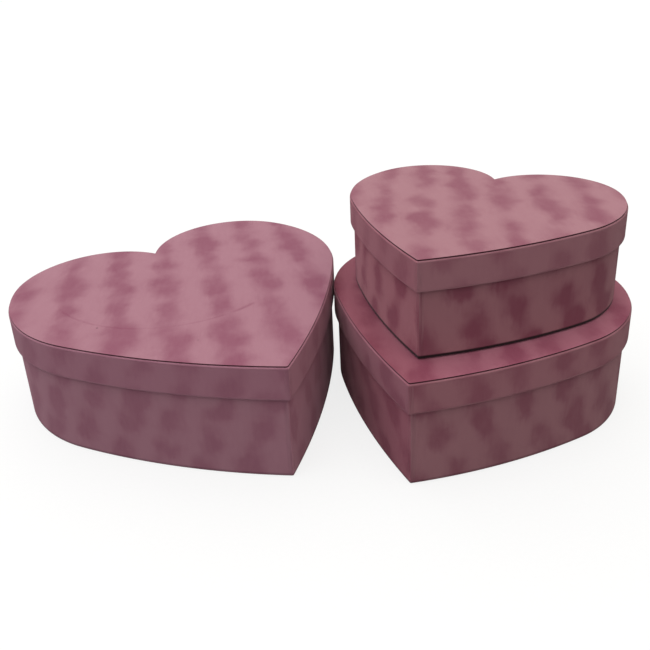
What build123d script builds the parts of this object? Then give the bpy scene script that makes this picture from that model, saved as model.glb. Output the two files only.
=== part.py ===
"""A set of three velvet-covered heart boxes that nest, each a base with a lift-off lid.

The large box stands by itself, and the small box stands on the lid of the medium one.
Units are millimetres, +Z is up, +X runs to the right and +Y to the back of the set.
The origin is at the middle of the set's floor space.
"""

import os
from math import atan2, cos, hypot, radians, sin, sqrt

from build123d import *

# Outside of each base: width across the lobes, and length from the tip to the top of the lobes
large_width = 280.0
large_length = 276.5
medium_width = 228.5
medium_length = 226.0
small_width = 206.0
small_length = 204.0

# Height of each closed box, and of its lid's rim
large_height = 93.0
large_rim = 27.0
medium_height = 84.0
medium_rim = 24.5
small_height = 75.5
small_rim = 23.5

# Shape of all three hearts: cleft depth and arc radii as shares of the width, and where the crown arc begins
cleft_share = 0.1435
shoulder_share = 0.398
flank_share = 2.024
crown_degrees = 27.2

# Boards, velvet and papers
wall_board = 2.0
floor_board = 2.0
rim_board = 1.2
top_board = 2.0
velvet = 0.6
panel_sheet = 1.0
lining_paper = 0.25
sole_paper = 0.4
stay_paper = 0.15

# Glue lines, fits and gaps
glue_line = 0.1
stay_glue = 0.2
lid_clearance = 0.4
seat_gap = 0.2
stack_gap = 0.2
seam_gap = 0.4
stand_gap = 0.8
cut_overrun = 1.0

# How far the velvet is turned over each edge, and where the loose sheets stop
wall_turn_in = 16.0
wall_turn_under = 12.0
rim_turn_in = 10.0
rim_turn_over = 14.0
panel_inset = 0.8
sole_inset = 3.0
stay_reach = 14.0

# How the set stands: each heart's turn from straight back, and how the boxes are placed
large_turn_degrees = 28.85
medium_turn_degrees = -31.1
small_turn_degrees = -32.7
stand_bearing = -9.1
small_back_share = 1.165
small_side_share = -0.153

# Layers of the base wall, as insets from the outer face of its velvet
wall_outer = velvet + glue_line
wall_inner = wall_outer + wall_board
turn_outer = wall_inner + glue_line
turn_inner = turn_outer + velvet
stay_outer = wall_inner + stay_glue
stay_inner = stay_outer + stay_paper
lining_outer = stay_inner + glue_line
lining_inner = lining_outer + lining_paper

# Layers of the lid rim, as outsets from the same face
rim_lining_inner = lid_clearance
rim_lining_outer = rim_lining_inner + lining_paper
rim_stay_inner = rim_lining_outer + glue_line
rim_stay_outer = rim_stay_inner + stay_paper
rim_inner = rim_stay_outer + stay_glue
rim_outer = rim_inner + rim_board
rim_face = rim_outer + glue_line + velvet
rim_turn_outer = rim_inner - glue_line
rim_turn_inner = rim_turn_outer - velvet

# Heights of the layers under the base, and depths of those under the top of the lid
wrap_bottom = sole_paper + glue_line
wall_bottom = wrap_bottom + velvet + glue_line
floor_top = wall_bottom + floor_board
wrap_depth = panel_sheet + glue_line
board_depth = wrap_depth + velvet + glue_line
board_under = board_depth + top_board
lining_under = board_under + glue_line + lining_paper
seat_depth = lining_under + seat_gap


class Heart:
    """A heart's outline: flank, shoulder and crown arcs on each half, with its tip at the origin."""

    def __init__(self, width, length):
        cleft = cleft_share * width
        crown_angle = radians(crown_degrees)
        self.shoulder = shoulder_share * width
        self.flank = flank_share * width
        self.shoulder_x = width / 2 - self.shoulder
        reach = self.shoulder_x + self.shoulder * cos(crown_angle)
        slant = reach * cos(crown_angle) + cleft
        spread = slant**2 - cos(crown_angle) ** 2 * (reach**2 + cleft**2)
        self.crown = (slant - sqrt(spread)) / cos(crown_angle) ** 2
        self.crown_x = reach - self.crown * cos(crown_angle)
        self.crown_y = length - self.crown
        self.shoulder_y = self.crown_y - (self.shoulder - self.crown) * sin(crown_angle)
        self.cleft_y = length - cleft
        # The flank arc passes through the tip and runs smoothly into the shoulder arc
        span = hypot(self.shoulder_x, self.shoulder_y)
        along = (self.flank**2 - (self.flank - self.shoulder) ** 2 + span**2) / (2 * span)
        aside = sqrt(self.flank**2 - along**2)
        self.flank_x = (along * self.shoulder_x - aside * self.shoulder_y) / span
        self.flank_y = (along * self.shoulder_y + aside * self.shoulder_x) / span

    def cleft_at(self, outset):
        """Where the cleft's corner lies on the axis, with the outline moved out or in."""
        if outset < 0:
            return self.cleft_y + outset
        return self.crown_y + sqrt((self.crown + outset) ** 2 - self.crown_x**2)


class Box:
    """One box of the set: its name, its heart, its heights and how it is turned."""

    def __init__(self, name, heart, height, rim, turn):
        self.name = name
        self.heart = heart
        self.height = height
        self.rim = rim
        self.across = Vector(cos(radians(turn)), sin(radians(turn)))
        self.back = Vector(-sin(radians(turn)), cos(radians(turn)))
        self.tip = Vector(0, 0)

    def spot(self, x, y):
        """A point of the heart's own plan, in the set's plan."""
        return self.tip + self.across * x + self.back * y

    def plane(self, height):
        """The heart's plan at a height above the box's own underside."""
        return Plane(self.tip + Vector(0, 0, height), x_dir=self.across, z_dir=Vector(0, 0, 1))


def arc(middle, radius, start, end):
    """A round stretch about a point, from one angle to another."""
    points = []
    for angle in (start, (start + end) / 2, end):
        points.append((middle[0] + radius * cos(angle), middle[1] + radius * sin(angle)))
    ThreePointArc(*points)


def heart_face(heart, outset, mode=Mode.ADD):
    """The heart's face in the sketch at hand, with its outline moved out, or in where negative."""
    flank_middle = (heart.flank_x, heart.flank_y)
    shoulder_middle = (heart.shoulder_x, heart.shoulder_y)
    crown_middle = (heart.crown_x, heart.crown_y)
    flank = heart.flank + outset
    crown = heart.crown + outset
    tip_angle = atan2(-sqrt(flank**2 - heart.flank_x**2), -heart.flank_x)
    shoulder_angle = atan2(heart.shoulder_y - heart.flank_y, heart.shoulder_x - heart.flank_x)
    crown_angle = radians(crown_degrees)
    cleft_angle = atan2(heart.cleft_at(max(outset, 0)) - heart.crown_y, -heart.crown_x)
    with BuildLine() as outline:
        arc(flank_middle, flank, tip_angle, shoulder_angle)
        arc(shoulder_middle, heart.shoulder + outset, shoulder_angle, crown_angle)
        arc(crown_middle, crown, crown_angle, cleft_angle)
        if outset < 0:
            arc((0, heart.cleft_y), -outset, cleft_angle - radians(180), -radians(90))
        mirror(about=Plane.YZ)
    make_face(outline.edges(), mode=mode)


def sheet(box, outset, bottom, top):
    """A flat heart between two heights, in the part at hand."""
    with BuildSketch(box.plane(bottom)) as plan:
        heart_face(box.heart, outset)
    extrude(plan.sketch, amount=top - bottom)


def band(box, outer, inner, bottom, top):
    """An upright band that follows the heart between two heights, in the part at hand."""
    with BuildSketch(box.plane(bottom)) as plan:
        heart_face(box.heart, outer)
        heart_face(box.heart, inner, mode=Mode.SUBTRACT)
    extrude(plan.sketch, amount=top - bottom)


def seam(box, outer, inner, bottom, top):
    """The slit at the cleft where the two ends of a strip meet, cut from the part at hand."""
    near = box.heart.cleft_at(inner) - cut_overrun
    far = box.heart.cleft_at(outer) + cut_overrun
    with BuildSketch(box.plane(bottom - cut_overrun)) as plan:
        with Locations((0, (near + far) / 2)):
            Rectangle(seam_gap, far - near)
    extrude(plan.sketch, amount=top - bottom + 2 * cut_overrun, mode=Mode.SUBTRACT)


def stay(box, outer, inner, bottom, top):
    """Gummed paper that bends round the cleft and holds the two ends of a board strip together."""
    near = box.heart.cleft_at(inner) - cut_overrun
    far = box.heart.cleft_at(outer) + stay_reach
    band(box, outer, inner, bottom, top)
    with BuildSketch(box.plane(bottom)) as plan:
        with Locations((0, (near + far) / 2)):
            Rectangle(2 * box.heart.crown_x, far - near)
    extrude(plan.sketch, amount=top - bottom, mode=Mode.INTERSECT)


def keep(piece, name):
    """Name a finished piece and write it out."""
    piece.part.label = name
    export_step(piece.part, f"parts/{name}.step")


def make_base(box):
    """The lower half: boards, the velvet round the wall, the linings and the sole sheet."""
    wrap_top = box.height - seat_depth
    wall_top = wrap_top - velvet - glue_line
    turn_bottom = wrap_top - wall_turn_in
    lining_top = turn_bottom - seam_gap
    lining_bottom = floor_top + glue_line

    with BuildPart() as sole:
        sheet(box, -sole_inset, 0, sole_paper)
    keep(sole, f"{box.name}_sole")

    with BuildPart() as floor:
        sheet(box, -turn_outer, wall_bottom, floor_top)
    keep(floor, f"{box.name}_floor_board")

    with BuildPart() as wall:
        band(box, -wall_outer, -wall_inner, wall_bottom, wall_top)
        seam(box, -wall_outer, -wall_inner, wall_bottom, wall_top)
    keep(wall, f"{box.name}_wall_board")

    with BuildPart() as wall_stay:
        stay(box, -stay_outer, -stay_inner, lining_bottom, lining_top)
    keep(wall_stay, f"{box.name}_wall_stay")

    with BuildPart() as wrap:
        band(box, 0, -wall_turn_under, wrap_bottom, wrap_bottom + velvet)
        band(box, 0, -velvet, wrap_bottom + velvet, wrap_top - velvet)
        band(box, 0, -turn_inner, wrap_top - velvet, wrap_top)
        band(box, -turn_outer, -turn_inner, turn_bottom, wrap_top - velvet)
        seam(box, 0, -wall_turn_under, wrap_bottom, wrap_top)
    keep(wrap, f"{box.name}_wall_velvet")

    with BuildPart() as lining:
        band(box, -lining_outer, -lining_inner, lining_bottom, lining_top)
        seam(box, -lining_outer, -lining_inner, lining_bottom, lining_top)
    keep(lining, f"{box.name}_wall_lining")

    with BuildPart() as floor_lining:
        sheet(box, -lining_inner - glue_line, lining_bottom, lining_bottom + lining_paper)
    keep(floor_lining, f"{box.name}_floor_lining")


def make_lid(box):
    """The upper half: boards, the velvet round the rim, the panel on top and the linings."""
    top = box.height
    wrap_top = top - wrap_depth
    board_top = top - board_depth
    board_bottom = top - board_under
    wrap_low = top - box.rim
    rim_low = wrap_low + velvet + glue_line
    turn_top = wrap_low + rim_turn_in
    lining_low = turn_top + seam_gap
    lining_top = board_bottom - glue_line

    with BuildPart() as board:
        sheet(box, rim_inner - glue_line, board_bottom, board_top)
    keep(board, f"{box.name}_top_board")

    with BuildPart() as rim:
        band(box, rim_outer, rim_inner, rim_low, board_top)
        seam(box, rim_outer, rim_inner, rim_low, board_top)
    keep(rim, f"{box.name}_rim_board")

    with BuildPart() as rim_stay:
        stay(box, rim_stay_outer, rim_stay_inner, lining_low, lining_top)
    keep(rim_stay, f"{box.name}_rim_stay")

    with BuildPart() as wrap:
        band(box, rim_face, rim_turn_inner, wrap_low, wrap_low + velvet)
        band(box, rim_turn_outer, rim_turn_inner, wrap_low + velvet, turn_top)
        band(box, rim_face, rim_face - velvet, wrap_low + velvet, wrap_top - velvet)
        band(box, rim_face, rim_face - rim_turn_over, wrap_top - velvet, wrap_top)
        seam(box, rim_face, rim_face - rim_turn_over, wrap_low, wrap_top)
    keep(wrap, f"{box.name}_rim_velvet")

    with BuildPart() as lining:
        band(box, rim_lining_outer, rim_lining_inner, lining_low, lining_top)
        seam(box, rim_lining_outer, rim_lining_inner, lining_low, lining_top)
    keep(lining, f"{box.name}_rim_lining")

    with BuildPart() as top_lining:
        sheet(box, rim_lining_inner - glue_line, lining_top - lining_paper, lining_top)
    keep(top_lining, f"{box.name}_top_lining")

    with BuildPart() as panel:
        sheet(box, rim_face - panel_inset, top - panel_sheet, top)
    keep(panel, f"{box.name}_top_panel")


def plan_span(box):
    """The space that a box's lid takes in the set's plan."""
    with BuildSketch(box.plane(0)) as plan:
        heart_face(box.heart, rim_face)
    return plan.sketch.bounding_box()


large_heart = Heart(large_width, large_length)
medium_heart = Heart(medium_width, medium_length)
small_heart = Heart(small_width, small_length)
large = Box("large", large_heart, large_height, large_rim, large_turn_degrees)
medium = Box("medium", medium_heart, medium_height, medium_rim, medium_turn_degrees)
small = Box("small", small_heart, small_height, small_rim, small_turn_degrees)
boxes = (large, medium, small)

# The medium box's left shoulder stands a small gap off the large box's right flank
reach = large_heart.flank + medium_heart.shoulder + 2 * rim_face + stand_gap
bearing = Vector(cos(radians(stand_bearing)), sin(radians(stand_bearing)))
shoulder = large.spot(large_heart.flank_x, large_heart.flank_y) + bearing * reach
medium.tip = shoulder - medium.spot(-medium_heart.shoulder_x, medium_heart.shoulder_y)

# The small box stands towards the back of the medium box's lid
spare_length = medium_length - small_length
spare_width = medium_width - small_width
small.tip = medium.spot(small_side_share * spare_width, small_back_share * spare_length)
small.tip += Vector(0, 0, medium_height + stack_gap)

# The set is moved so that the origin is at the middle of its floor space
spans = [plan_span(box) for box in boxes]
left = min(span.min.X for span in spans)
right = max(span.max.X for span in spans)
front = min(span.min.Y for span in spans)
rear = max(span.max.Y for span in spans)
middle = Vector((left + right) / 2, (front + rear) / 2)
for box in boxes:
    box.tip -= middle

os.makedirs("parts", exist_ok=True)
for box in boxes:
    make_base(box)
    make_lid(box)
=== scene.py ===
from math import atan2, cos, hypot, pi, radians, sin, sqrt

import bmesh
import bpy
import numpy as np
from mathutils import Matrix, Vector, geometry, noise


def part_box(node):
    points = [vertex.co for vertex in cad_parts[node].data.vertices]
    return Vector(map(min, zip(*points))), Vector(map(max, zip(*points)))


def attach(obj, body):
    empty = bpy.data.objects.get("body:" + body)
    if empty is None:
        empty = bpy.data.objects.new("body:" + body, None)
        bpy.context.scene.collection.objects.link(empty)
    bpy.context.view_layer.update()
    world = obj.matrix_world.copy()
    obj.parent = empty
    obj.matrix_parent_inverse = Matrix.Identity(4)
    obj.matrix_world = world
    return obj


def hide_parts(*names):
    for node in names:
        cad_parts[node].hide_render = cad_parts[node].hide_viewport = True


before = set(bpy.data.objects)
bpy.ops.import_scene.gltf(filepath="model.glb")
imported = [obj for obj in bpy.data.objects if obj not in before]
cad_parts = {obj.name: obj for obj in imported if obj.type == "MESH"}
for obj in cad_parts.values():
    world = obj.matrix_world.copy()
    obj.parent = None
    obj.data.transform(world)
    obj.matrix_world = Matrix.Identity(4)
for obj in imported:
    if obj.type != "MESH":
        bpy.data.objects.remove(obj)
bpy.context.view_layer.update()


# The boards: floor, wall, rim and lid top of each box, all hidden under velvet and paper.
# They are greyboard, pressed from waste paper, so the grey is mottled and flecked with fibres.
# The strips of wall and rim are scored at the tip and bent round, and give the box its shape.

sizes = ("large", "medium", "small")
boards = ("floor_board", "wall_board", "top_board", "rim_board")


class Wire:
    """A socket of a shader tree, so that shader maths reads as plain sums."""

    def __init__(self, tree, socket=None):
        self.tree = tree
        self.socket = socket

    def node(self, kind, settings, sockets, out=0):
        """Any node: its type, its settings, then the values or links of its sockets."""
        made = self.tree.nodes.new("ShaderNode" + kind)
        for name, value in settings.items():
            setattr(made, name, value)
        for name, value in sockets.items():
            if isinstance(value, Wire):
                self.tree.links.new(value.socket, made.inputs[name])
            else:
                made.inputs[name].default_value = value
        return Wire(self.tree, made.outputs[out] if made.outputs else None)

    def maths(self, operation, *values):
        """A Math node on this socket and any further values."""
        return self.node("Math", {"operation": operation}, dict(enumerate((self, *values))))

    def __add__(self, other):
        return self.maths("ADD", other)

    def __radd__(self, other):
        return self.maths("ADD", other)

    def __sub__(self, other):
        return self.maths("SUBTRACT", other)

    def __rsub__(self, other):
        return self.node("Math", {"operation": "SUBTRACT"}, {0: other, 1: self})

    def __mul__(self, other):
        return self.maths("MULTIPLY", other)

    def __rmul__(self, other):
        return self.maths("MULTIPLY", other)

    def between(self, low, high):
        """This value as a soft step from 0 at low to 1 at high."""
        limits = {"Value": self, "From Min": low, "From Max": high}
        return self.node("MapRange", {"interpolation_type": "SMOOTHSTEP"}, limits)

    def tint(self, colour, other):
        """One colour where this value is 0, the other where it is 1."""
        return self.node("Mix", {"data_type": "RGBA"}, {0: self, 6: colour, 7: other}, out=2)

    def speckle(self, where, per_metre, detail=2.0):
        """Soft noise with about so many spots to the metre."""
        return self.node("TexNoise", {}, {"Vector": where, "Scale": per_metre, "Detail": detail})


def new_finish(name):
    """An empty material and the start of its shader tree."""
    finish = bpy.data.materials.new(name)
    finish.use_nodes = True
    finish.node_tree.nodes.clear()
    return finish, Wire(finish.node_tree)


relief_strength = 0.6


def close_finish(start, relief, relief_depth, sockets):
    """The surface itself, with a fine relief on it."""
    bump = start.node("Bump", {}, {"Height": relief, "Distance": relief_depth, "Strength": relief_strength})
    surface = start.node("BsdfPrincipled", {}, {"Normal": bump, **sockets})
    start.node("OutputMaterial", {}, {"Surface": surface})


# Pulp: clouds to the metre, how the fibres lie, and the noise at which flecks and dark pulp begin and end
pulp_clouds = 45.0
fibre_lie = (1.0, 0.25, 0.5)
fleck_limits = (0.70, 0.78)
pulp_limits = (0.25, 0.85)


def paper_finish(name, pale, dark, fibres, flecks, relief_depth):
    """Board or paper: cloudy pulp with short fibres, so many to the metre, and a few flecks in it."""
    finish, start = new_finish(name)
    place = start.node("TexCoord", {}, {}, out=3)
    long_way = start.node("Mapping", {}, {"Vector": place, "Scale": fibre_lie})
    cloud = start.speckle(place, pulp_clouds, 3.0)
    fibre = start.speckle(long_way, fibres, 2.0)
    fleck = start.speckle(place, fibres * 0.7, 0.0).between(*fleck_limits)
    tone = cloud * 0.5 + fibre * 0.5 + fleck * flecks
    close_finish(start, fibre + cloud * 0.3, relief_depth, {
        "Base Color": tone.between(*pulp_limits).tint(pale, dark),
        "Roughness": 0.78 + fibre * 0.15,
        "Specular IOR Level": 0.25,
    })
    return finish


def dress(nodes, finish):
    """Give carried-over CAD pieces their finish."""
    for node in nodes:
        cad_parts[node].data.materials.clear()
        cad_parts[node].data.materials.append(finish)


greyboard = paper_finish(
    "greyboard", pale=(0.36, 0.34, 0.31, 1), dark=(0.17, 0.16, 0.15, 1),
    fibres=900.0, flecks=0.5, relief_depth=0.0003,
)
for size in sizes:
    dress([f"{size}_{board}" for board in boards], greyboard)


# The stays: a strip of gummed kraft paper inside each cleft, over the joint of the board strip.
# Brown paper tape, wetted and pressed on, holds the two ends of the strip together.
# It is hidden by the lining paper once the box is finished.

kraft = paper_finish(
    "gummed_kraft", pale=(0.42, 0.27, 0.15, 1), dark=(0.27, 0.16, 0.08, 1),
    fibres=1400.0, flecks=0.3, relief_depth=0.00008,
)
for size in sizes:
    dress([f"{size}_wall_stay", f"{size}_rim_stay"], kraft)


# The velvet round each wall: one strip of short-pile mottled velvet, glued to the board.
# It is turned under the floor and over the mouth, folded at the tip, and its ends meet at the cleft.
# The mottle is pressed into the pile: three leaning blotches to a repeat, in columns.

# The sheet: thickness, its folds, and the open half of the seam at the cleft
velvet_thick = 0.0006
tip_fold = 0.0015
fold_inner = 0.0004
fold_margin = 0.0008
seam_half = 0.0002
sole_and_glue = 0.0005

# How closely the sheet's shape is divided
fold_steps = 5
tip_steps = 4
shoulder_steps = 36
crown_steps = 30
cleft_steps = 6
flank_sweep = 0.5
station_step = 0.004
row_step = 0.006
tiny = 1e-6

# The three hearts: one shape in three sizes
cleft_share = 0.1435
shoulder_share = 0.398
flank_share = 2.024
crown_angle = radians(27.2)

hearts = {
    "large": {"width": 0.280, "length": 0.2765, "turn": 28.85, "height": 0.093, "rim": 0.027},
    "medium": {"width": 0.2285, "length": 0.226, "turn": -31.1, "height": 0.084, "rim": 0.0245},
    "small": {"width": 0.206, "length": 0.204, "turn": -32.7, "height": 0.0755, "rim": 0.0235},
}


class Heart:
    """The plan of one box, from its tip round the flank, shoulder and crown arcs to the cleft."""

    def __init__(self, size):
        facts = hearts[size]
        width, length = facts["width"], facts["length"]
        cleft = cleft_share * width
        self.size = size
        self.height = facts["height"]
        self.rim = facts["rim"]
        self.shoulder = shoulder_share * width
        self.flank = flank_share * width
        self.shoulder_x = width / 2 - self.shoulder
        reach = self.shoulder_x + self.shoulder * cos(crown_angle)
        slant = reach * cos(crown_angle) + cleft
        spread = slant**2 - cos(crown_angle) ** 2 * (reach**2 + cleft**2)
        self.crown = (slant - sqrt(spread)) / cos(crown_angle) ** 2
        self.crown_x = reach - self.crown * cos(crown_angle)
        self.crown_y = length - self.crown
        self.shoulder_y = self.crown_y - (self.shoulder - self.crown) * sin(crown_angle)
        self.cleft_y = length - cleft
        span = hypot(self.shoulder_x, self.shoulder_y)
        along = (self.flank**2 - (self.flank - self.shoulder) ** 2 + span**2) / (2 * span)
        aside = sqrt(self.flank**2 - along**2)
        self.flank_x = (along * self.shoulder_x - aside * self.shoulder_y) / span
        self.flank_y = (along * self.shoulder_y + aside * self.shoulder_x) / span
        turn = radians(facts["turn"])
        self.across = np.array((cos(turn), sin(turn)))
        self.back = np.array((-sin(turn), cos(turn)))
        # The node's box says where the heart stands
        low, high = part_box(f"{size}_wall_velvet")
        self.floor = low.z - sole_and_glue
        self.tip = np.zeros(2)
        plan = self.placed(self.strip(0.0))
        middle = np.array(((low.x + high.x) / 2, (low.y + high.y) / 2))
        self.tip = middle - (plan.min(0) + plan.max(0)) / 2
        run = np.hypot(*np.diff(self.strip(0.0), axis=0).T)
        self.run = np.concatenate(((0.0,), np.cumsum(run)))
        self.run -= self.run[-1] / 2

    def half(self, outset, face=0.0):
        """The right half of the outline, moved out or in, from the tip's fold to the cleft."""
        flank = self.flank + outset
        crown = self.crown + outset
        tip_round = max(tip_fold + outset - face, tiny)
        tip_y = self.flank_y - sqrt((flank - tip_round) ** 2 - self.flank_x**2)
        tip_angle = atan2(tip_y - self.flank_y, -self.flank_x)
        shoulder_angle = atan2(self.shoulder_y - self.flank_y, self.shoulder_x - self.flank_x)
        corner = sqrt((self.crown + max(outset, 0.0)) ** 2 - self.crown_x**2)
        cleft_angle = atan2(corner, -self.crown_x)
        nose = max(-outset, 0.0)
        nose_y = self.cleft_y if outset < 0 else self.crown_y + corner
        flank_steps = int(self.flank * flank_sweep / station_step)
        shoulder = self.shoulder + outset
        stretches = (
            (0.0, tip_y, tip_round, -pi / 2, tip_angle, tip_steps),
            (self.flank_x, self.flank_y, flank, tip_angle, shoulder_angle, flank_steps),
            (self.shoulder_x, self.shoulder_y, shoulder, shoulder_angle, crown_angle, shoulder_steps),
            (self.crown_x, self.crown_y, crown, crown_angle, cleft_angle, crown_steps),
            (0.0, nose_y, nose, cleft_angle - pi, -pi / 2, cleft_steps),
        )
        points = []
        for x, y, radius, start, end, steps in stretches:
            angles = np.linspace(start, end, steps + 1)[bool(points):]
            points.append(np.stack((x + radius * np.cos(angles), y + radius * np.sin(angles)), -1))
        return np.concatenate(points)

    def strip(self, outset, face=0.0):
        """The outline as a strip is wrapped: from the cleft round the tip and back to the cleft."""
        right = self.half(outset, face)
        middle = len(right) // 2
        right[middle:, 0] = np.maximum(right[middle:, 0], seam_half)
        return np.concatenate((right[:0:-1] * (-1, 1), right))

    def placed(self, points):
        """Points of the heart's own plan, in the set's plan."""
        return self.tip + points[:, :1] * self.across + points[:, 1:] * self.back


def folded(corners, radius, shades):
    """A sheet's line through its corners, each rounded and given its own shade.

    Gives the line's points, their side directions, how far along they are, and their shade.
    """
    line = [np.array(corner, float) for corner in corners]
    points = [line[0]]
    bends = [0.0]
    for before, here, after, shade in zip(line, line[1:], line[2:], shades):
        back = (before - here) / np.linalg.norm(before - here)
        on = (after - here) / np.linalg.norm(after - here)
        middle = here + (back + on) * radius
        for step in range(fold_steps + 1):
            angle = pi / 2 * step / fold_steps
            points.append(middle - on * radius * cos(angle) - back * radius * sin(angle))
            bends.append(shade)
    points.append(line[-1])
    bends.append(0.0)
    # Rows across the long flat stretches, closer beside each fold
    full, bent = [points[0]], [bends[0]]
    for start, end, last in zip(points, points[1:], bends[1:]):
        length = np.linalg.norm(end - start)
        if length > 4 * radius:
            rows = max(2, int(length / row_step))
            shares = np.linspace(0.0, 1.0, rows + 1)[1:-1]
            near = fold_margin / length
            for share in (near, *shares[(shares > 2 * near) & (shares < 1 - 2 * near)], 1 - near):
                full.append(start + (end - start) * share)
                bent.append(0.0)
        full.append(end)
        bent.append(last)
    full = np.array(full)
    ahead = np.gradient(full, axis=0)
    ahead /= np.linalg.norm(ahead, axis=1)[:, None]
    along = np.concatenate(((0.0,), np.cumsum(np.hypot(*np.diff(full, axis=0).T))))
    return full, np.stack((-ahead[:, 1], ahead[:, 0]), -1), along, np.array(bent)


# Points closer than this are one, thinner faces go, and steeper edges stay sharp
weld_within = 0.00002
sliver_below = 0.000005
sharp_above = radians(50.0)


def cloth_mesh(name, points, faces, lay, creased=()):
    """A piece of cloth from its points and faces, with how it lay when it was cut, and any crease."""
    mesh = bpy.data.meshes.new(name)
    mesh.from_pydata([tuple(point) for point in points], [], faces)
    if len(creased):
        values = mesh.attributes.new("crease", "FLOAT", "POINT").data
        values.foreach_set("value", np.array(creased, np.float32))
    vectors = mesh.attributes.new("lay", "FLOAT_VECTOR", "POINT").data
    vectors.foreach_set("vector", np.ravel(lay).astype(np.float32))
    shape = bmesh.new()
    shape.from_mesh(mesh)
    bmesh.ops.remove_doubles(shape, verts=shape.verts, dist=weld_within)
    bmesh.ops.dissolve_degenerate(shape, edges=shape.edges, dist=sliver_below)
    bmesh.ops.recalc_face_normals(shape, faces=shape.faces)
    shape.to_mesh(mesh)
    shape.free()
    mesh.shade_smooth()
    mesh.set_sharp_from_angle(angle=sharp_above)
    piece = bpy.data.objects.new(name, mesh)
    bpy.context.scene.collection.objects.link(piece)
    return piece


# How worn the tip's fold is, with painted highlight, and how far round it, and how much and how often the
# glued cloth eases in
tip_wear_and_highlight = 0.15
tip_highlight_reach = 0.0012
ease_share = 0.0006
ease_along = 28.0
ease_up = 22.0


def wrapped(name, heart, corners, radius, zero, shades):
    """A strip of velvet wrapped round a heart, folded on a profile of outsets and heights.

    The velvet's pattern counts from zero along the profile. Gives the piece and the strip's width.
    """
    middle, side, along, bent = folded(corners, radius, shades)
    tip_worn_and_lit = tip_wear_and_highlight * np.exp(-((heart.run / tip_highlight_reach) ** 2))
    loop = np.concatenate((middle + side * velvet_thick / 2, (middle - side * velvet_thick / 2)[::-1]))
    along = np.concatenate((along, along[::-1])) - zero
    bent = np.concatenate((bent, bent[::-1]))
    face = loop[:, 0].max()
    rings = len(loop)
    stations = len(heart.run)
    points = []
    lay = []
    for (outset, height), row, fold in zip(loop, along, bent):
        plan = heart.strip(outset, face)
        ease = [noise.noise((run * ease_along, row * ease_up, len(name))) for run in heart.run]
        plan = plan * (1.0 - ease_share * np.array(ease)[:, None] ** 2)
        plan = heart.placed(plan)
        points.extend((x, y, heart.floor + height) for x, y in plan)
        lay.extend((run, row, fold if fold else worn_and_lit) for run, worn_and_lit in zip(heart.run, tip_worn_and_lit))
    faces = []
    for ring in range(rings):
        after = (ring + 1) % rings
        for place in range(stations - 1):
            faces.append((
                ring * stations + place, ring * stations + place + 1,
                after * stations + place + 1, after * stations + place,
            ))
    faces.append([ring * stations for ring in range(rings)])
    faces.append([ring * stations + stations - 1 for ring in range(rings)])
    return cloth_mesh(name, points, faces, lay), along.max() - along.min()


# The pile: its colours brushed up, pressed down, worn at folds with painted highlight, dark at cut edges
# with painted shade, painted contact shadow at the foot, its sheen and its relief
pile_pale = (0.306, 0.156, 0.188, 1)
pile_deep = (0.205, 0.068, 0.104, 1)
pile_worn_and_lit = (0.36, 0.20, 0.235, 1)
dark_backing_and_shade = (0.045, 0.012, 0.020, 1)
foot_shadow_colour = (0.012, 0.004, 0.006, 1)
sheen_tint = (1.0, 0.80, 0.86, 1)
pile_relief = 0.0004

# The tint round the back of a strip, and how far round from the tip it takes over
tint_behind = (0.90, 0.77, 0.82, 1)
tint_behind_from = (0.17, 0.30)

# Grain of the velvet, in spots to the metre, and how far it carries the blotches' edges about
wander_grain = 36.0
wander_across = 0.020
wander_along = 0.026
fray_grain = 240.0
fray_across = 0.003
fray_along = 0.008
cloud_grain = 26.0
haze_grain = 110.0
streak_grain = 330.0
pile_grain = 2600.0
brush_lie = (1.0, 0.3, 1.0)
grain_aside = (3.0, 7.0, 0.0)

# How strongly each grain shows: in the blotches, then in the tone
cloud_swing = 1.8
cloud_stain = 0.22
fray_stain = 0.08
haze_tone = 0.34
streak_tone = 0.24
pile_tone = 0.20
cloud_tone = 0.10
crease_tone = 0.6

# The painted contact shadow at the foot: how high it ends and is full, how near something must lie, and how
# closed in it is there
foot_shadow_limits = (0.0029, 0.0018)
foot_shadow_near = 0.03
foot_shadow_closed = (0.95, 0.6)

# Repeats of the mottle: steps across and along, and blotches by place, half width and height, lean and depth
slanting = {
    "across": (0.04148, -0.00259),
    "along": (-0.01546, 0.08941),
    "blotches": (
        (0.175, 0.855, 0.0125, 0.0170, -0.38, 0.50),
        (0.117, 0.144, 0.0130, 0.0205, -0.28, 0.44),
        (0.135, 0.511, 0.0105, 0.0170, -0.22, 0.52),
    ),
}
standing = {
    **slanting,
    "blotches": (
        (0.175, 0.855, 0.0122, 0.0128, -0.38, 0.58),
        (0.117, 0.144, 0.0126, 0.0145, -0.28, 0.52),
        (0.135, 0.511, 0.0112, 0.0128, -0.22, 0.58),
    ),
}


def laid(repeat, turn, narrow, start):
    """How the velvet's repeat lies on a piece: turned, drawn narrower, and moved by a share of a repeat."""
    angle = radians(turn)
    turned = np.array(((cos(angle) / narrow, sin(angle) / narrow), (-sin(angle), cos(angle))))
    inverse = np.linalg.inv(np.array((repeat["across"], repeat["along"])).T)
    return inverse @ turned, start


# Where the painted side light and shade change over at the tip
tip_shading_turn = (-0.0002, 0.0002)


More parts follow.
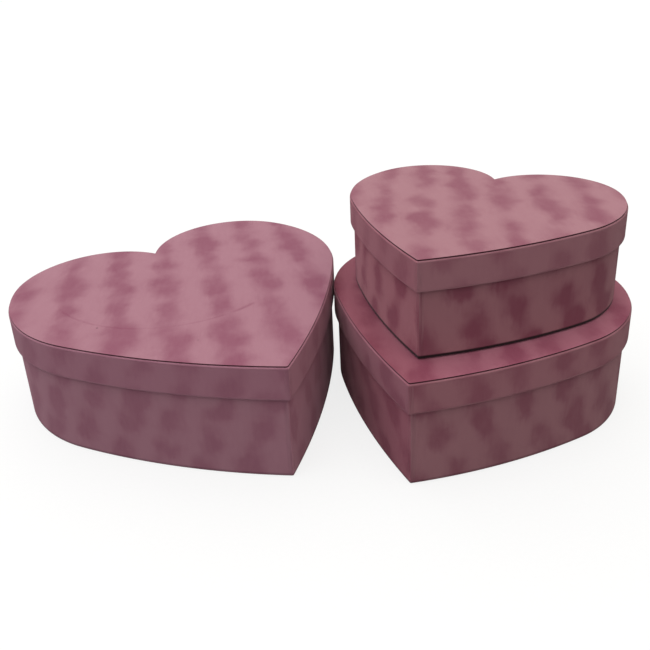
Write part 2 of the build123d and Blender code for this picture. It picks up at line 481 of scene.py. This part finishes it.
def velvet_finish(name, repeat, lays, painted_shading, depth, full, foot_shadow=0.0, specks=(), shading_turn=tip_shading_turn):
    """Mottled velvet: soft blotches of pressed pile, cloudy brushing, folds worn and painted lit, dark cut
    edges with painted shade, a painted contact shadow at the foot, tints of painted side light, lint.

    A strip has a lay and a tint of painted light and shade on each side of the tip. The mottle has its
    depth, and a fullness at which a blotch is wholly pressed.
    """
    finish, start = new_finish(name)
    lay = start.node("Attribute", {"attribute_name": "lay"}, {}, out=1)
    across, along, fold = (start.node("SeparateXYZ", {}, {0: lay}, out=out) for out in range(3))
    right = across.between(*shading_turn)
    aside = start.node("VectorMath", {}, {0: lay, 1: grain_aside})
    brushed = start.node("Mapping", {}, {"Vector": lay, "Scale": brush_lie})
    fray = start.speckle(brushed, fray_grain, 2.0) - 0.5
    u = across + (start.speckle(lay, wander_grain, 4.0) - 0.5) * wander_across + fray * fray_across
    v = along + (start.speckle(aside, wander_grain, 4.0) - 0.5) * wander_along + fray * fray_along
    repeats = []
    for matrix, moved in lays:
        rows = zip(matrix, moved)
        repeats.append([u * float(row[0]) + v * float(row[1]) + float(begin) for row, begin in rows])
    s, t = repeats[0]
    if len(repeats) > 1:
        tip_side = across.maths("GREATER_THAN", 0.0)
        s, t = (left + (here - left) * tip_side for here, left in zip(*repeats))
    wide, tall = (hypot(*repeat[way]) for way in ("across", "along"))
    pressed = None
    for s_at, t_at, half_wide, half_tall, lean, strength in repeat["blotches"]:
        ds = (s + (0.5 - s_at)).maths("FRACT") - 0.5
        dt = (t + (0.5 - t_at)).maths("FRACT") - 0.5
        beside = ds * (wide / half_wide) + dt * (lean * tall / half_wide)
        up = dt * (tall / half_tall)
        spot = ((beside * beside + up * up) * -1.0).maths("EXPONENT") * strength
        pressed = spot if pressed is None else pressed + spot
    streak = start.speckle(brushed, streak_grain, 3.0) - 0.5
    pile = start.speckle(lay, pile_grain, 1.0) - 0.5
    cloud = start.speckle(aside, cloud_grain, 3.0) - 0.5
    stain = pressed * (1 + cloud * cloud_swing) + cloud * cloud_stain + fray * fray_stain
    patch = stain.between(0.0, full)
    haze = start.speckle(brushed, haze_grain, 4.0) - 0.5
    deep = patch * depth + haze * haze_tone + streak * streak_tone + pile * pile_tone + cloud * cloud_tone
    crease = start.node("Attribute", {"attribute_name": "crease"}, {}, out=2)
    colour = deep.node("Clamp", {}, {0: deep + crease * crease_tone}).tint(pile_pale, pile_deep)
    # Folds paler: partly worn pile, partly painted highlight
    colour = fold.maths("MAXIMUM", 0.0).tint(colour, pile_worn_and_lit)
    # Tints of painted light and shade on each side of the tip or across a panel, fading to a plain tint
    # round the back
    shading = right.tint(painted_shading[-1], painted_shading[0])
    if len(lays) > 1:
        shading = across.maths("ABSOLUTE").between(*tint_behind_from).tint(shading, tint_behind)
    multiply = {"data_type": "RGBA", "blend_type": "MULTIPLY"}
    colour = start.node("Mix", multiply, {0: 1.0, 6: colour, 7: shading}, out=2)
    # Lint specks take the same dark colour as the cut edges
    for x, y, radius, dark in specks:
        away = start.node("VectorMath", {"operation": "DISTANCE"}, {0: lay, 1: (x, y, 0.0)}, out=1)
        colour = (away.between(radius * 1.4, radius * 0.6) * dark).tint(colour, dark_backing_and_shade)
    if foot_shadow:
        # Painted contact shadow: only where the box stands on something, closed in, is its foot darkened
        open_round = start.node("AmbientOcclusion", {"samples": 8}, {"Distance": foot_shadow_near}, out=1)
        stands = open_round.between(*foot_shadow_closed)
        colour = (stands * along.between(*foot_shadow_limits) * foot_shadow).tint(colour, foot_shadow_colour)
    # Cut edges and the panel's underside: the dark backing, with painted shade of the gap beside the rim
    colour = (fold * -1.0).maths("MAXIMUM", 0.0).tint(colour, dark_backing_and_shade)
    relief = pile + streak * 0.6 - patch * 0.5
    close_finish(start, relief, pile_relief, {
        "Base Color": colour,
        "Roughness": 0.86 + pile * 0.2,
        "Specular IOR Level": 0.12,
        "Sheen Weight": 0.10,
        "Sheen Roughness": 0.45,
        "Sheen Tint": sheen_tint,
    })
    return finish


def covers(piece, node, body, finish):
    """Stand a velvet piece in for its CAD solid."""
    piece.data.materials.append(finish)
    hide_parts(node)
    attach(piece, body)


# Right and left of the tip: how the repeat lies by turn, narrowing and start, and the tint of painted light
# and shade on each side
wall_lays = {
    "large": ((12.0, 0.78, (0.532, 0.103)), (-28.0, 0.78, (0.095, 0.276))),
    "medium": ((16.0, 0.78, (0.111, 0.171)), (32.0, 0.78, (0.833, 0.286))),
    "small": ((12.0, 0.86, (0.934, 0.998)), (-24.0, 0.78, (0.296, 0.191))),
}
# Each side's tint is painted light and shade: a side of a box lighter or darker as the light falls on it
wall_painted_shading = {
    "large": ((1.28, 1.14, 1.26, 1), (0.93, 0.87, 0.93, 1)),
    "medium": ((0.83, 0.75, 0.74, 1), (0.86, 0.56, 0.62, 1)),
    "small": ((0.80, 0.67, 0.67, 1), (0.89, 0.64, 0.65, 1)),
}

# Depth and fullness of the mottle, and strength of the painted contact shadow at the foot
wall_mottle_and_foot_shadow = {"large": (0.52, 0.44, 0.3), "medium": (0.74, 0.48, 0.3), "small": (1.0, 0.48, 1.0)}

# Where the strip runs: its turns, its middle line inside the board, and the mouth's drop below the lid's top
wall_turn_under = 0.012
wall_turn_in = 0.016
wall_turned_in = 0.0031
mouth_below_top = 0.00435
# How pale each wall fold is, partly wear and partly painted highlight: bottom, mouth and the mouth's turn-in
wall_shades = (0.0, 0.3, 0.3)
plans = {size: Heart(size) for size in sizes}
for size in sizes:
    heart = plans[size]
    half = velvet_thick / 2
    mouth = heart.height - mouth_below_top - half
    under = sole_and_glue + half
    corners = (
        (-wall_turn_under, under), (-half, under), (-half, mouth),
        (-wall_turned_in, mouth), (-wall_turned_in, mouth + half - wall_turn_in),
    )
    cover, strip_wide = wrapped(
        f"{size}_wall_cover", heart, corners, fold_inner + half, wall_turn_under - under, wall_shades
    )
    lays = [laid(standing, *lay) for lay in wall_lays[size]]
    finish = velvet_finish(f"{size}_wall_velvet", standing, lays, wall_painted_shading[size], *wall_mottle_and_foot_shadow[size])
    covers(cover, f"{size}_wall_velvet", f"{size}_base", finish)
    strip_long = float(heart.run[-1] - heart.run[0])


# The sole: a heart of plain cover paper under each box, over the turned-under velvet.
# It is a dull pink paper, pasted on last, that hides the raw edge of the cloth.
# It is what the box stands on.

sole_paper = paper_finish(
    "sole_paper", pale=(0.46, 0.30, 0.32, 1), dark=(0.36, 0.21, 0.24, 1),
    fibres=1100.0, flecks=0.2, relief_depth=0.00012,
)
for size in sizes:
    dress([f"{size}_sole"], sole_paper)


# The velvet round each lid's rim: a strip turned up inside the low edge and in over the top edge.
# It is the same velvet, cut where the mottle is faint, glued to the rim board.
# Its fold at the top shows as a pale line outside the panel, worn and with painted highlight, and its ends
# meet at the cleft.

rim_lays = {
    "large": ((12.0, 0.78, (0.1, 0.3)), (-28.0, 0.78, (0.55, 0.2))),
    "medium": ((16.0, 0.78, (0.6, 0.8)), (32.0, 0.78, (0.2, 0.7))),
    "small": ((12.0, 0.86, (0.3, 0.15)), (-24.0, 0.78, (0.8, 0.4))),
}
# The rim's side tints are painted light and shade in the same way
rim_painted_shading = {
    "large": ((1.12, 0.95, 1.06, 1), (0.89, 0.78, 0.87, 1)),
    "medium": ((0.84, 0.70, 0.71, 1), (0.82, 0.60, 0.65, 1)),
    "small": ((0.84, 0.73, 0.74, 1), (0.85, 0.63, 0.65, 1)),
}
rim_depths = {"large": 0.42, "medium": 0.68, "small": 0.55}
rim_full = 0.50

# Where the strip runs: its outer face, its middle line inside the board, its turns, its drop below the top
rim_face = 0.0030
rim_turned_in = 0.0007
rim_turn_up = 0.010
rim_turn_over = 0.014
rim_below_top = 0.0011
# How pale each rim fold is, partly wear and partly painted highlight: low inside, low outside and top
rim_shades = (0.1, 0.25, 0.30)
for size in sizes:
    heart = plans[size]
    half = velvet_thick / 2
    low = heart.height - heart.rim + half
    high = heart.height - rim_below_top - half
    corners = (
        (rim_turned_in, low - half + rim_turn_up), (rim_turned_in, low), (rim_face - half, low),
        (rim_face - half, high), (rim_face - rim_turn_over, high),
    )
    cover, strip_wide = wrapped(f"{size}_rim_cover", heart, corners, fold_inner + half, 0.0, rim_shades)
    lays = [laid(standing, *lay) for lay in rim_lays[size]]
    finish = velvet_finish(
        f"{size}_rim_velvet", standing, lays, rim_painted_shading[size], rim_depths[size], rim_full
    )
    covers(cover, f"{size}_rim_velvet", f"{size}_lid", finish)
    strip_long = float(heart.run[-1] - heart.run[0])


# The panel on each lid: a heart of backed velvet, die-cut and glued on top, just inside the rim's edge.
# The cut edge shows the dark backing as a thin line all round, under a slightly rounded pile, darkened
# further by painted shade of the gap beside the rim.
# The large panel has a long faint crease, round as if something had been pressed on it.

panel_outset = 0.0022
panel_thick = 0.0010
panel_round = 0.00025
panel_edge_steps = 5
panel_foot = 0.0002
grid_step = 0.005
grid_row_share = 0.9
grid_margin = 0.0025
pile_uneven = 0.00012
uneven_grain = 30.0

# The round crease: its circle, how strong it is at each bearing, its width, depth, and the points across it
crease_middle = np.array((-0.11665, 0.03504))
crease_radius = 0.10441
crease_angles = np.radians(np.arange(-147.0, -41.0, 1.2))
crease_marks = (-147.0, -136.0, -104.0, -92.0, -84.0, -72.0, -64.0, -58.0, -54.0, -47.0, -44.0)
crease_strengths = (0.0, 0.50, 0.40, 0.25, 0.25, 0.50, 0.40, 0.10, 0.90, 1.0, 0.0)
crease_wide_from = (-60.0, -55.0)
crease_half_wide = (0.0009, 0.0015)
crease_sink = 0.0003
crease_clear = 0.004
crease_sides = np.array((-0.003, -0.0014, -0.0007, -0.0003, 0.0, 0.0003, 0.0007, 0.0014, 0.003))


def crease_depth(points):
    """How deep the long round crease is at points of the plan, from 0 to 1."""
    way = points - crease_middle
    angle = np.degrees(np.arctan2(way[:, 1], way[:, 0]))
    half_wide = np.interp(angle, crease_wide_from, crease_half_wide)
    beside = (np.hypot(*way.T) - crease_radius) / half_wide
    strength = np.interp(angle, crease_marks, crease_strengths)
    return np.exp(-beside**2) * strength


def inside(points, outline):
    """Which points lie inside a closed outline."""
    x, y = points.T
    within = np.zeros(len(points), bool)
    for (ax, ay), (bx, by) in zip(outline, np.roll(outline, -1, axis=0)):
        crossed = (ay > y) != (by > y)
        if crossed.any():
            within ^= crossed & (x < ax + (y - ay) * (bx - ax) / (by - ay if by != ay else 1.0))
    return within


def heart_panel(name, heart):
    """A thin heart with a rounded upper edge and a grid of points over its face."""
    right = heart.half(panel_outset, panel_outset)[:-cleft_steps]
    count = len(right) * 2 - 2

    def ring(outset):
        here = heart.half(outset, panel_outset)[:-cleft_steps]
        return np.concatenate((here, here[-2:0:-1] * (-1, 1)))

    top = heart.height
    edge = [(panel_outset - panel_round * (1 - cos(a)), top - panel_round * (1 - sin(a)))
            for a in np.linspace(0.0, pi / 2, panel_edge_steps)]
    edge = [(panel_outset, top - panel_thick), (panel_outset, top - panel_thick + panel_foot), *edge]
    loop = ring(edge[-1][0])
    low, high = loop.min(0), loop.max(0)
    grid = []
    rows = int((high[1] - low[1]) / grid_step) + 1
    for row in range(rows):
        for column in range(int((high[0] - low[0]) / grid_step) + 1):
            x = low[0] + (column + 0.5 * (row % 2)) * grid_step
            grid.append((x, low[1] + row * grid_step * grid_row_share))
    grid = np.array(grid)
    creased = heart.size == "large"
    if creased:
        out = (crease_radius + crease_sides)[:, None]
        turned = np.stack((out * np.cos(crease_angles), out * np.sin(crease_angles)), -1).reshape(-1, 2)
        away = np.abs(np.hypot(*(heart.placed(grid) - crease_middle).T) - crease_radius) > crease_clear
        from_tip = turned + crease_middle - heart.tip
        grid = np.concatenate((grid[away], np.stack((from_tip @ heart.across, from_tip @ heart.back), -1)))
    grid = grid[inside(grid, ring(panel_outset - grid_margin))]
    flat = [Vector(point) for point in (*loop, *grid)]
    rim = [(place, (place + 1) % count) for place in range(count)]
    spots, _, tiles, *_ = geometry.delaunay_2d_cdt(flat, rim, [list(range(count))], 1, 1e-7)
    points, lay, faces = [], [], []
    for outset, height in edge[:-1]:
        plan = heart.placed(ring(outset))
        # Edge rows below the rounding are marked for the dark backing with painted shade
        edge_backing_and_shade = -1.0 if height < top - panel_round * 0.6 else 0.0
        points.extend((x, y, heart.floor + height) for x, y in plan)
        lay.extend((x, y, edge_backing_and_shade) for x, y in plan)
    for level in range(len(edge) - 2):
        for place, after in rim:
            faces.append((level * count + place, level * count + after,
                          (level + 1) * count + after, (level + 1) * count + place))
    begin = len(points)
    face = heart.placed(np.array([tuple(spot) for spot in spots]))
    depths = crease_depth(face) if creased else np.zeros(len(face))
    for place, (x, y) in enumerate(face):
        uneven = 0.5 + 0.5 * noise.noise((x * uneven_grain, y * uneven_grain, 1.0))
        sink = 0.0 if place < count else pile_uneven * uneven
        points.append((x, y, heart.floor + top - sink - crease_sink * depths[place]))
        lay.append((x, y, 0.0))
    last = (len(edge) - 2) * count
    for place, after in rim:
        faces.append((last + place, last + after, begin + after, begin + place))
    faces.extend([begin + corner for corner in tile] for tile in tiles)
    base = len(points)
    points.extend((x, y, heart.floor + top - panel_thick) for x, y in face)
    lay.extend((x, y, -1.0) for x, y in face)
    faces.extend([base + corner for corner in reversed(tile)] for tile in tiles)
    faces.extend((base + place, base + after, after, place) for place, after in rim)
    area = sum(abs((spots[b] - spots[a]).cross(spots[c] - spots[a])) / 2 for a, b, c in tiles)
    shown = np.zeros(len(points))
    shown[begin:base] = depths
    return cloth_mesh(name, points, faces, lay, shown), area


# The repeat on the two smaller lids, how each lid's panel was laid and linted, and its tint, partly painted
# light and shade
steep = {
    "across": (0.02419, -0.03223),
    "along": (0.02200, 0.10279),
    "blotches": (
        (0.258, 0.248, 0.0105, 0.0225, -0.42, 0.42),
        (0.179, 0.488, 0.0120, 0.0200, -0.39, 0.58),
        (0.166, 0.825, 0.0110, 0.0215, -0.27, 0.52),
    ),
}
panel_lays = {
    "large": (slanting, 0.0, 1.0, (0.0, 0.0)),
    "medium": (steep, 6.0, 1.0, (0.45, 0.30)),
    "small": (steep, 0.0, 1.0, (0.0, 0.0)),
}
panel_lint = {
    "large": ((-0.1627, -0.0626, 0.0007, 0.75), (-0.0833, -0.0919, 0.0006, 0.4)),
    "medium": (),
    "small": (),
}
# The medium panel's two tints are painted shade: darker and redder towards the boxes beside it
panel_painted_shading = {
    "large": ((0.99, 0.91, 0.97, 1),),
    "medium": ((1.03, 0.71, 0.82, 1), (0.76, 0.45, 0.52, 1)),
    "small": ((0.98, 0.91, 0.90, 1),),
}
panel_depth = 0.88
panel_full = 0.62
panel_shading_turn = (0.04, 0.11)
for size in sizes:
    heart = plans[size]
    panel, area = heart_panel(f"{size}_top_cover", heart)
    lays = [laid(*panel_lays[size])]
    finish = velvet_finish(
        f"{size}_top_velvet", panel_lays[size][0], lays, panel_painted_shading[size], panel_depth, panel_full,
        specks=panel_lint[size], shading_turn=panel_shading_turn,
    )
    covers(panel, f"{size}_top_panel", f"{size}_lid", finish)
    plan = heart.half(panel_outset, panel_outset)


# The linings: pale paper inside each wall, floor, rim and lid.
# It is a thin uncoated paper, pasted over the board and the edge of the turned-in velvet.
# Its joint is at the cleft, over the stay.

linings = ("wall_lining", "floor_lining", "rim_lining", "top_lining")
lining_paper = paper_finish(
    "lining_paper", pale=(0.66, 0.55, 0.54, 1), dark=(0.56, 0.44, 0.44, 1),
    fibres=1500.0, flecks=0.1, relief_depth=0.00008,
)
for size in sizes:
    dress([f"{size}_{lining}" for lining in linings], lining_paper)


# The studio: a wide pale floor under an even overcast light, brightest overhead.
# The left of the room is a little cooler and brighter than the right, and floor and backdrop look white.
# The camera stands at the height and angle of the photograph.

floor_half = 14.0
floor_grey = (0.15, 0.15, 0.15, 1)
floor_fleck = (0.17, 0.17, 0.17, 1)
floor_grain = 400.0
floor_white = 0.79
white = (1.0, 1.0, 1.0, 1)
floor_corners = [(x * floor_half, y * floor_half, 0.0) for x, y in ((-1, -1), (1, -1), (1, 1), (-1, 1))]
floor_mesh = bpy.data.meshes.new("floor")
floor_mesh.from_pydata(floor_corners, [], [(0, 1, 2, 3)])
floor = bpy.data.objects.new("floor", floor_mesh)
bpy.context.scene.collection.objects.link(floor)
floor_finish, start = new_finish("pale_floor")
place = start.node("TexCoord", {}, {}, out=3)
grain = start.speckle(place, floor_grain, 2.0)
lit = start.node("BsdfPrincipled", {}, {
    "Base Color": grain.tint(floor_grey, floor_fleck),
    "Roughness": 0.9 + grain * 0.05,
    "Specular IOR Level": 0.0,
    "Emission Color": white,
    "Emission Strength": floor_white,
})
# The camera sees the floor white, while the boxes get only a grey floor's bounce
bounced = start.node("BsdfDiffuse", {}, {"Color": floor_grey})
seen = start.node("LightPath", {}, {})
shown = start.node("MixShader", {}, {0: seen, 1: bounced, 2: lit})
start.node("OutputMaterial", {}, {"Surface": shown})
floor_mesh.materials.append(floor_finish)

overhead = 2.05
below = 0.10
east_fall = 0.33
east_end_fall = 0.28
cool = (0.985, 1.0, 1.05, 1)
warm = (1.02, 0.98, 0.85, 1)
world = bpy.data.worlds.new("studio")
world.use_nodes = True
world.node_tree.nodes.clear()
start = Wire(world.node_tree)
outward = start.node("TexCoord", {}, {}, out=0)
east, _, up = (start.node("SeparateXYZ", {}, {0: outward}, out=out) for out in range(3))
above = up.maths("GREATER_THAN", 0.0)
sky = (up * (2 * overhead / 3) + overhead / 3) * above + (1 - above) * below
sky = sky * (1 - east * east_fall - east * east * east_end_fall)
hue = (east * 0.5 + 0.5).tint(cool, warm)
room = start.node("Background", {}, {"Color": hue, "Strength": sky})
backdrop = start.node("Background", {}, {"Color": white, "Strength": 1.0})
seen = start.node("LightPath", {}, {})
shown = start.node("MixShader", {}, {0: seen, 1: room, 2: backdrop})
start.node("OutputWorld", {}, {"Surface": shown})
bpy.context.scene.world = world
bpy.context.scene.view_settings.view_transform = "Standard"

camera_place = Vector((-0.020156, -0.529926, 0.342003))
camera_pitch = 0.36603
camera_roll = -0.072687
level = Vector((1.0, 0.0, 0.0))
upright = Vector((0.0, sin(camera_pitch), cos(camera_pitch)))
camera_right = level * cos(camera_roll) + upright * sin(camera_roll)
camera_up = upright * cos(camera_roll) - level * sin(camera_roll)
camera_data = bpy.data.cameras.new("camera")
camera_data.sensor_width = 36.0
camera_data.lens = 38.2892
camera_data.shift_x = 0.072637
camera_data.shift_y = -0.148016
camera_data.clip_start = 0.01
camera = bpy.data.objects.new("camera", camera_data)
turned = Matrix((camera_right, camera_up, camera_right.cross(camera_up))).transposed()
camera.matrix_world = Matrix.Translation(camera_place) @ turned.to_4x4()
bpy.context.scene.collection.objects.link(camera)
bpy.context.scene.camera = camera
